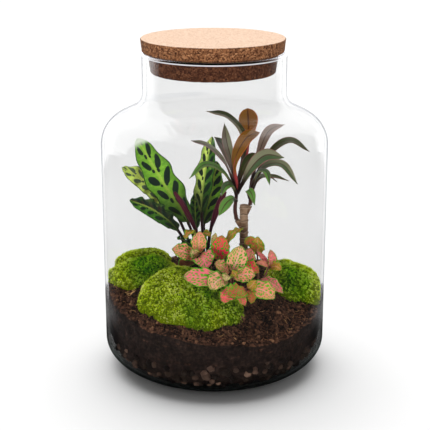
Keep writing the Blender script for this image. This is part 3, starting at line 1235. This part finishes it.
def prayer_material():
    """A green blade with two rows of dark ovals, fine veins, a pale midrib and a dark purple back"""
    paint = Paint("patterned_leaf")
    across, along, tone, face_side = paint.mark()
    edge = abs(across)
    right = paint.math("GREATER_THAN", across, 0.0)
    bent = paint.math("MAXIMUM", along, 0.0) ** OVAL_CROWDING
    beat = bent * OVALS + right * 0.12 - 0.15
    cell = paint.math("FLOOR", beat) + right * 17.0 + tone * 50.0
    chance = paint.node("TexWhiteNoise", {"W": cell}, noise_dimensions="1D")
    from_beat = paint.math("FRACT", beat) - 0.5 + (chance - 0.5) * 0.1
    wobble = (paint.noise(3, 1) - 0.5) * 0.16
    from_beat = from_beat + wobble
    size = 1.2 - chance * 0.35
    from_middle = edge - 0.46
    on_right = oval(from_beat, from_middle, 36, 0.56, 0.21)
    on_left = oval(from_beat, from_middle, 30, 0.42, 0.2)
    big = on_right * right + on_left * (1.0 - right)
    big = paint.span(big * size, 1.15, 0.85)
    between = 0.5 - abs(from_beat)
    small = oval(between, edge - 0.17, 0, 0.12, 0.1)
    spots = paint.math("MAXIMUM", big, paint.span(small, 1.25, 0.75))
    fine = paint.math("SINE", beat * (TURN * 4) - edge * 6.0)
    hue = paint.hue()
    pale = paint.span(tone, 0.5, 0.9)
    outer = paint.mix(0.6 - pale * 0.4, hue, srgb(50, 110, 28))
    streak = paint.span(paint.noise(1.6, 3), 0.35, 0.65)
    shade = paint.span(edge, 0.35, 1.0) * 0.75 + fine * 0.14 + streak * 0.4
    colour = paint.mix(shade, hue, outer)
    fleck = paint.span(paint.noise(1.2, 2), 0.56, 0.74) * 0.35
    colour = paint.mix(fleck, colour, srgb(176, 218, 96))
    colour = paint.mix(paint.span(edge, 0.16, 0.03) * 0.4, colour, srgb(196, 212, 84))
    colour = paint.mix(spots, colour, paint.mix(pale, srgb(26, 46, 34), srgb(104, 124, 92)))
    colour = paint.mix(paint.span(edge, 0.9, 0.98), colour, srgb(28, 60, 28))
    colour = paint.mix(paint.span(along, 0.56, 0.06) * (0.75 - pale * 0.5), colour, srgb(22, 40, 22))
    faded = paint.span(along, 0.9, 0.97) * paint.trait()
    colour = paint.mix(faded, colour, srgb(206, 216, 196))
    colour = paint.mix(face_side, srgb(64, 28, 40), colour)
    colour = paint.mix(paint.span(along, 0.04, -0.03), colour, srgb(46, 22, 26))
    height = fine * 0.35 + paint.span(edge, 0.0, 0.08)
    return paint.surface(colour, 0.4, specular_ior_level=0.4, normal=paint.bump(height, 0.12))


def rolled_material():
    """Dark purple with lengthwise streaks"""
    paint = Paint("rolled_leaf")
    across, along, _, _ = paint.mark()
    streak = paint.math("SINE", across * 9.0 + along * 6.0)
    mixed = 0.4 + streak * 0.14 + along * 0.3
    colour = paint.ramp(mixed, (0.1, 24, 9, 15), (0.5, 62, 18, 34), (0.9, 112, 34, 58))
    return paint.surface(colour, 0.45, specular_ior_level=0.35, normal=paint.bump(streak, 0.1))


def strap_material():
    """A narrow blade with parallel veins, a coloured rim and rib, and a reddish foot"""
    paint = Paint("strap_leaf")
    across, along, _, face_side = paint.mark()
    edge = abs(across)
    young = paint.trait()
    wash = paint.span(paint.noise(11, 2), 0.35, 0.65)
    colour = paint.mix(wash * 0.3, paint.hue(), srgb(66, 80, 36))
    lines = paint.math("SINE", across * 30.0)
    colour = paint.mix(paint.span(lines, 0.2, 1.0) * 0.2, colour, srgb(48, 44, 28))
    rim = paint.mix(young, srgb(166, 96, 98), srgb(190, 92, 20))
    colour = paint.mix(paint.span(edge, 0.84, 0.97) * 0.7, colour, rim)
    young_rib = paint.mix(paint.span(along, 0.1, 0.3), srgb(220, 84, 88), srgb(82, 44, 14))
    rib = paint.mix(young, srgb(78, 52, 42), young_rib)
    colour = paint.mix(paint.span(edge, 0.14, 0.05), colour, rib)
    under = paint.mix(0.45, paint.hue(), srgb(70, 52, 44))
    colour = paint.mix(face_side, under, colour)
    foot = paint.mix(young, srgb(44, 22, 22), srgb(190, 72, 74))
    colour = paint.mix(paint.span(along, 0.36 - young * 0.3, 0.1 - young * 0.16), colour, foot)
    height = lines * 0.4 + paint.span(edge, 0.0, 0.12)
    return paint.surface(colour, 0.42, specular_ior_level=0.35, normal=paint.bump(height, 0.08))


def shoot_material():
    paint = Paint("shoot_stem")
    tone = paint.mark()[1] + paint.noise(2.5, 3) * 0.3
    colour = paint.ramp(tone, (0.1, 84, 54, 42), (0.5, 70, 34, 34), (0.95, 84, 44, 44))
    return paint.surface(colour, 0.6, normal=paint.bump(paint.noise(1.2, 3), 0.2))


def bark_material():
    """Bark with the rings that fallen leaves left"""
    paint = Paint("cane_bark")
    tone = paint.noise(3, 4) * 0.6 + paint.mark()[1] * 0.4
    colour = paint.ramp(tone, (0.2, 58, 42, 32), (0.5, 112, 84, 64), (0.85, 172, 144, 118))
    height = paint.split()[2]
    turns = height * (1 / (BARK_RING * MM)) + paint.noise(5, 2) * 1.1
    ring = paint.math("FRACT", turns)
    colour = paint.mix(paint.span(ring, 0.2, 0.0) * 0.75, colour, srgb(44, 30, 24))
    colour = paint.mix(paint.span(ring, 0.75, 0.98) * 0.5, colour, srgb(190, 164, 140))
    return paint.surface(colour, 0.85, specular_ior_level=0.25, normal=paint.bump(paint.noise(0.9, 4), 0.35))


def nerve_material():
    """A pink blade with green specks between its veins, and a green rim and tip"""
    paint = Paint("nerve_leaf")
    across, along, tone, face_side = paint.mark()
    green_share = paint.trait()
    edge = abs(across)
    cell_rows = along * 8.5 - edge * 1.8
    spot = paint.flat_cells(across * 3.7 + tone * 90.0, cell_rows)
    reach = green_share * 0.12
    dots = paint.span(spot, reach + 0.26, reach + 0.18)
    flush = paint.span(paint.noise(5, 2), 0.35, 0.65)
    pink = paint.mix(flush * 0.2, paint.hue(), srgb(224, 164, 96))
    green = paint.mix(flush, srgb(52, 178, 12), srgb(112, 190, 36))
    rim = paint.span(edge + (spot - 0.4) * 0.15, 0.87, 0.95)
    far = paint.span(along, 0.95, 0.985)
    dots = dots * paint.span(green_share, 0.0, 0.35)
    green_here = paint.math("MAXIMUM", dots, paint.math("MAXIMUM", rim, far))
    colour = paint.mix(green_here, pink, green)
    pale = paint.node("SeparateColor", {0: paint.hue()}, output=1)
    vein = paint.mix(paint.span(pale, 0.1, 0.4, 0.1, 0.6), paint.hue(), srgb(255, 190, 184))
    colour = paint.mix(paint.span(edge, 0.1, 0.04) * 0.8, colour, vein)
    colour = paint.mix(face_side, paint.mix(0.5, paint.hue(), srgb(126, 100, 62)), colour)
    colour = paint.mix(paint.span(along, 0.05, 0.0), colour, srgb(150, 96, 80))
    height = paint.span(spot, 0.6, 0.1) * paint.span(edge, 0.0, 0.1)
    return paint.surface(colour, 0.5, specular_ior_level=0.35, normal=paint.bump(height, 0.3))


def nerve_stem_material():
    paint = Paint("nerve_stem")
    tone = paint.mark()[1] + paint.noise(2, 2) * 0.2
    colour = paint.ramp(tone, (0.1, 92, 70, 48), (0.9, 156, 104, 84))
    return paint.surface(colour, 0.65, normal=paint.bump(paint.noise(0.8, 3), 0.2))


def add_cane():
    cane = CANE
    pitch = (cane.top - cane.foot) / cane.rings
    height = np.linspace(cane.foot, cane.top, cane.steps)
    place = (height - cane.foot) / pitch - 0.75
    near = place - np.round(place)
    ridge = cane.ridge * np.exp(-(near / 0.06) ** 2)
    ridge = ridge - 0.35 * cane.ridge * np.exp(-((near - 0.13) / 0.06) ** 2)
    rings = turned(np.stack([cane.radius + ridge - 0.15, height], axis=1), cane.sides)
    rings[..., :2] *= 1 + 0.05 * noise(rings, 2.2, 61)[..., None]
    rings[..., 0] += cane.at[0]
    rings[..., 1] += cane.at[1]
    heap = Heap()
    points = np.concatenate([rings.reshape(-1, 3), [(*cane.at, cane.foot), (*cane.at, cane.top - 0.5)]])
    tone = (points[:, 2] - cane.foot) / (cane.top - cane.foot)
    faces = [grid_faces(cane.steps, cane.sides), caps(cane.steps, cane.sides, True)]
    heap.add(points, faces, np.stack([tone, tone, tone, tone], axis=1))
    for _, knob, _, _ in SHOOTS:
        add_tube(heap, knob, [KNOB_RADIUS * 1.15, KNOB_RADIUS], 14, 8, 0, 0.5, 0.06)
    piece("cane_bark", heap, [bark_material()], "bark", "cane")


def add_prayer_plant():
    patterned, rolled = prayer_material(), rolled_material()
    for number, (name, width, left, right, face, path) in enumerate(PRAYER_PLANT):
        heap = Heap()
        tone = 0.8 if left == right == "lime" else 0.1 * number / 7
        kind = WAVED_LEAF if name in ("calathea_left", "calathea_low") else PRAYER_LEAF
        add_leaf(heap, kind, width, (left, right), face, path, 0.0, tone, 1.0 if number == 0 else 0.0)
        piece(name + "_leaf", heap, [patterned], "prayer_leaf", name)
    for name, width, left, right, face, path in ROLLED_LEAVES:
        heap = Heap()
        add_leaf(heap, ROLLED_LEAF, width, (left, right), face, path)
        piece(name + "_leaf", heap, [rolled], "rolled_leaf", name)


def add_shoots():
    strap, shoot_stem = strap_material(), shoot_material()
    for name, _, stem, leaves in SHOOTS:
        heap = Heap()
        add_tube(heap, stem, [SHOOT_RADIUS, SHOOT_RADIUS * 0.8], 12, 24, 1, 0.5, 0.08)
        for number, (width, left, right, face, path) in enumerate(leaves):
            young = left == "amber"
            kind = YOUNG_SHAPES[width] if young else STRAP_LEAF
            add_leaf(heap, kind, width, (left, right), face, path, number, 0.0, float(young))
        piece(name + "_leaves", heap, [strap, shoot_stem], "strap_leaf", name)


def add_nerve_plant():
    nerve, nerve_stem = nerve_material(), nerve_stem_material()
    for name, stem, leaves in NERVE_PLANT:
        heap = Heap()
        add_tube(heap, stem, [NERVE_STEM_RADIUS, NERVE_STEM_RADIUS * 0.8], 10, 16, 1, 0.5, 0.08)
        for number, (width, hue, green, face, path) in enumerate(leaves):
            own = (width * 7 + number * 3) % 10 / 10
            add_leaf(heap, NERVE_LEAF, width, (hue, hue), face, path, 1.7 * number, own, green)
        piece(name + "_leaves", heap, [nerve, nerve_stem], "nerve_leaf", name)


# Floor and light

# The floor's sizes are in mm
FLOOR_REACH = 6000
FLOOR_CELLS = 12
FLOOR_DROP = 0.3
FLOOR_GREY = (0.82, 0.82, 0.82, 1)
WORLD_LIGHT = 0.4
# The overhead light's width and turn are in degrees
OVERHEAD_STRENGTH = 2.95
OVERHEAD_WIDTH = 48
OVERHEAD_TURN = (-14, -3, 0)
# The softboxes' sizes and places are in metres, and their last number is their brightness
SOFTBOX_HEIGHT = 0.13
SOFTBOX_SIZE = (1.1, 0.26)
SOFTBOXES = [("light_left", -1.0, -1.25, 16.5), ("light_right", 1.15, -1.1, 11.5)]


def backward(paint, x, y):
    """Distance of a place or direction from the jar's axis, and from -1 in front of it to 1 behind it"""
    out = paint.math("SQRT", x * x + y * y + 1e-6)
    return out, y / out


def in_mirror(paint):
    """1 for what is seen in a reflection"""
    return paint.math("GREATER_THAN", paint.node("LightPath", output="Glossy Depth"), 0.5)


def floor_material():
    """A pale floor. Reflections show it dark in front of the jar and bright behind it, as in a studio"""
    paint = Paint("pale_floor")
    x, y, _ = paint.split()
    out, direction = backward(paint, x, y)
    far = paint.span(out, 0.6, 1.3)
    left = paint.span(x, 0.1, -0.1)
    start = 0.72 + left * 0.1 + far * (-0.24 - left * 0.38)
    beside = paint.span(direction, 0.05, 0.6) * paint.span(out, 0.1, 0.2) * 0.26
    behind = paint.span(direction, start, start + 0.14) * paint.span(out, 0.26, 0.42)
    share = paint.math("MAXIMUM", beside, behind)
    grey = paint.mix(share, (0.04, 0.04, 0.04, 1), (0.95, 0.95, 0.95, 1))
    seen = paint.node("BsdfDiffuse", {"Color": FLOOR_GREY})
    mirrored = paint.node("BsdfDiffuse", {"Color": grey})
    paint.output(paint.node("MixShader", {0: in_mirror(paint), 1: seen, 2: mirrored}))
    return paint.material


def add_floor():
    side = np.linspace(-FLOOR_REACH, FLOOR_REACH, FLOOR_CELLS + 1) * MM
    x, y = np.meshgrid(side, side, indexing="ij")
    points = np.stack([x.ravel(), y.ravel(), np.full(x.size, -FLOOR_DROP * MM)], axis=1)
    mesh = bpy.data.meshes.new("floor")
    mesh.from_pydata(points.tolist(), [], grid_faces(len(side), len(side), False)[:, ::-1].tolist())
    mesh.materials.append(floor_material())
    floor = bpy.data.objects.new("floor", mesh)
    bpy.context.scene.collection.objects.link(floor)
    return floor


def add_world():
    """An even white backdrop, a dimmer light from all sides, and a studio that only reflections show"""
    world = bpy.data.worlds.new("studio")
    bpy.context.scene.world = world
    world.use_nodes = True
    sky = Paint("studio", world.node_tree)
    x, y, z = sky.split(sky.node("TexCoord", output="Generated"))
    _, direction = backward(sky, x, y)
    start = 0.58 - sky.span(x, 0.1, -0.1) * 0.5
    beside = sky.span(direction, 0.05, 0.6) * 0.42
    behind = sky.math("MAXIMUM", beside, sky.span(direction, start, start + 0.12))
    bright = 1.75 - sky.span(x, -0.1, 0.1) * 0.35
    level = 0.1 + behind * (bright - 0.1)
    level = level + sky.span(z, 0.84, 0.93) * (0.5 - level)
    light, backdrop, studio = [sky.node("Background", {"Color": (1, 1, 1, 1), "Strength": strength})
                               for strength in (WORLD_LIGHT, 1.0, level)]
    by_camera = sky.node("LightPath", output="Is Camera Ray")
    light = sky.node("MixShader", {0: by_camera, 1: light, 2: backdrop})
    sky.output(sky.node("MixShader", {0: in_mirror(sky), 1: light, 2: studio}), "OutputWorld")


def add_lamp(name, kind, place, turn):
    """A lamp that reflections don't show, its place in metres and its turn in radians"""
    data = bpy.data.lights.new(name, kind)
    lamp = bpy.data.objects.new(name, data)
    lamp.location = place
    lamp.rotation_euler = turn
    lamp.visible_glossy = False
    bpy.context.scene.collection.objects.link(lamp)
    return data, lamp


def add_softbox(name, x, y, radiance):
    """An upright soft light that faces the jar, with the brightness that its face shows"""
    data, lamp = add_lamp(name, "AREA", (x, y, SOFTBOX_HEIGHT), (math.pi / 2, 0, math.atan2(x, -y)))
    width, height = SOFTBOX_SIZE
    data.shape = "RECTANGLE"
    data.size = width
    data.size_y = height
    data.energy = radiance * math.pi * width * height
    lamp.visible_camera = False
    return lamp


def add_lamps(floor):
    """A wide overhead light, and a softbox on each side that doesn't light the floor"""
    turn = [math.radians(angle) for angle in OVERHEAD_TURN]
    overhead, _ = add_lamp("light_overhead", "SUN", (0, 0, 0), turn)
    overhead.angle = math.radians(OVERHEAD_WIDTH)
    overhead.energy = OVERHEAD_STRENGTH
    unlit = bpy.data.collections.new("not_lit_by_softboxes")
    unlit.objects.link(floor)
    unlit.collection_objects[0].light_linking.link_state = "EXCLUDE"
    for softbox in SOFTBOXES:
        add_softbox(*softbox).light_linking.receiver_collection = unlit


add_camera()
add_world()
add_lamps(add_floor())
bpy.context.scene.view_settings.view_transform = "Standard"

add_jar()
add_lid()
add_ground()
soil_random = np.random.default_rng(41)
add_crumbs(soil_random)
add_fibres(soil_random)
stone_random = np.random.default_rng(43)
add_pebbles(stone_random)
add_stones(stone_random)
add_moss()
add_prayer_plant()
add_shoots()
add_nerve_plant()
add_cane()
